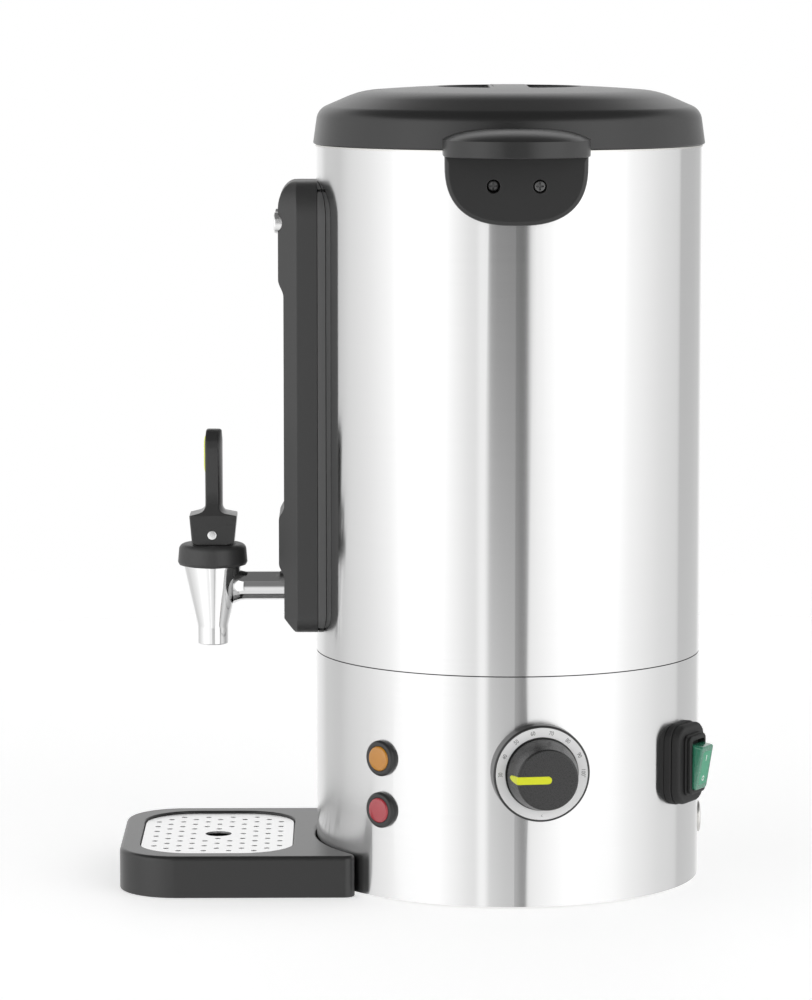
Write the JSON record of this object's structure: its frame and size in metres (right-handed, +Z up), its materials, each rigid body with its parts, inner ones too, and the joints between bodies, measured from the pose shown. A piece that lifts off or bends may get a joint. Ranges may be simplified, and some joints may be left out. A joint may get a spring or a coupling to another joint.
{
  "type": "hot water urn",
  "caption": "Round double-walled hot water urn with lid, side handles, level gauge, lever tap, thermostat dial and drip tray.",
  "frame": {"origin": "the body's axis at the plane that the feet stand on", "axes": "+Z up along the body's axis, -Y towards the tap and the drip tray, +X towards the dial and one of the two handles"},
  "size_m": [0.307, 0.3425, 0.45],
  "materials": {
    "brushed_steel": "brushed stainless sheet",
    "satin_steel": "satin stainless sheet",
    "chrome": "polished chrome plate",
    "aluminium": "cast, plain",
    "black_plastic": "fine moulded texture",
    "black_gloss": "smooth moulded",
    "black_rubber": "matt",
    "silicone": "translucent silicone",
    "glass": "clear tube",
    "lime_plastic": "smooth moulded",
    "amber_plastic": "faceted lens",
    "red_plastic": "faceted lens",
    "green_plastic": "translucent rocker",
    "white_steel": "fine satin"
  },
  "bodies": {
    "urn": {"base_shell": "brushed_steel", "outer_wall": "brushed_steel", "inner_tank": "satin_steel", "support_ring": "satin_steel", "seam_gasket": "black_rubber", "bottom_plate": "satin_steel", "feet": "black_rubber", "element_plate": "aluminium", "element_terminals": "satin_steel", "thermal_cutout": "black_gloss", "cable_gland": "black_plastic", "handle_right": "black_plastic", "handle_left": "black_plastic", "handle_screws": "satin_steel", "handle_nuts": "satin_steel", "column_back": "black_plastic", "column_cover": "black_plastic", "gauge_tube": "glass", "gauge_seals": "silicone", "gauge_fitting": "chrome", "gauge_cap": "chrome", "gauge_screw": "chrome", "tank_nut": "chrome", "tank_washer": "silicone", "tap_body": "chrome", "tap_collar": "black_plastic", "tap_spring": "satin_steel", "dial_skirt": "black_plastic", "scale_ring": "white_steel", "thermostat_body": "aluminium", "lamp_bezels": "black_plastic", "amber_lens": "amber_plastic", "red_lens": "red_plastic", "lamp_bodies": "satin_steel", "switch_gasket": "black_rubber", "switch_housing": "black_plastic"},
    "lid": {"lid": "black_plastic", "lid_liner": "satin_steel", "lid_seal": "silicone"},
    "stem": {"tap_stem": "satin_steel", "seat_cup": "silicone"},
    "lever": {"tap_lever": "black_gloss", "lever_accent": "lime_plastic", "lever_pin": "satin_steel"},
    "dial": {"dial_knob": "black_gloss", "knob_pointer": "lime_plastic", "thermostat_shaft": "satin_steel"},
    "rocker": {"switch_rocker": "green_plastic"},
    "tray": {"drip_tray": "black_plastic"},
    "grill": {"drip_grill": "white_steel"}
  },
  "joints": [
    {"name": "lid_lift", "type": "slide", "parent": "urn", "child": "lid", "axis": [0, 0, 1], "range_m": [0, 0.15]},
    {"name": "tray_slide", "type": "slide", "parent": "urn", "child": "tray", "axis": [0, -1, 0], "range_m": [0, 0.1]},
    {"name": "grill_lift", "type": "slide", "parent": "tray", "child": "grill", "axis": [0, 0, 1], "range_m": [0, 0.05]},
    {"name": "dial_turn", "type": "hinge", "parent": "urn", "child": "dial", "pos_m": [0.11904, 0.01514, 0.0775], "axis": [0.992, 0.1262, 0], "range_deg": [-190, 90]},
    {"name": "rocker_press", "type": "hinge", "parent": "urn", "child": "rocker", "pos_m": [0.0575, 0.09959, 0.073], "axis": [0.866, -0.5, 0], "range_deg": [0, 20]},
    {"name": "stem_lift", "type": "slide", "parent": "urn", "child": "stem", "axis": [0, 0, 1], "range_m": [0, 0.0048], "deforming": ["tap_spring"]},
    {"name": "lever_tilt", "type": "hinge", "parent": "stem", "child": "lever", "pos_m": [0, -0.168, 0.196], "axis": [1, 0, 0], "range_deg": [0, 34], "stiffness_Nm_per_rad": 0.16, "springref_deg": -21.49}
  ],
  "couplings": [
    {"joint": "stem_lift", "follows": "lever_tilt", "m_per_rad": 0.008}
  ]
}
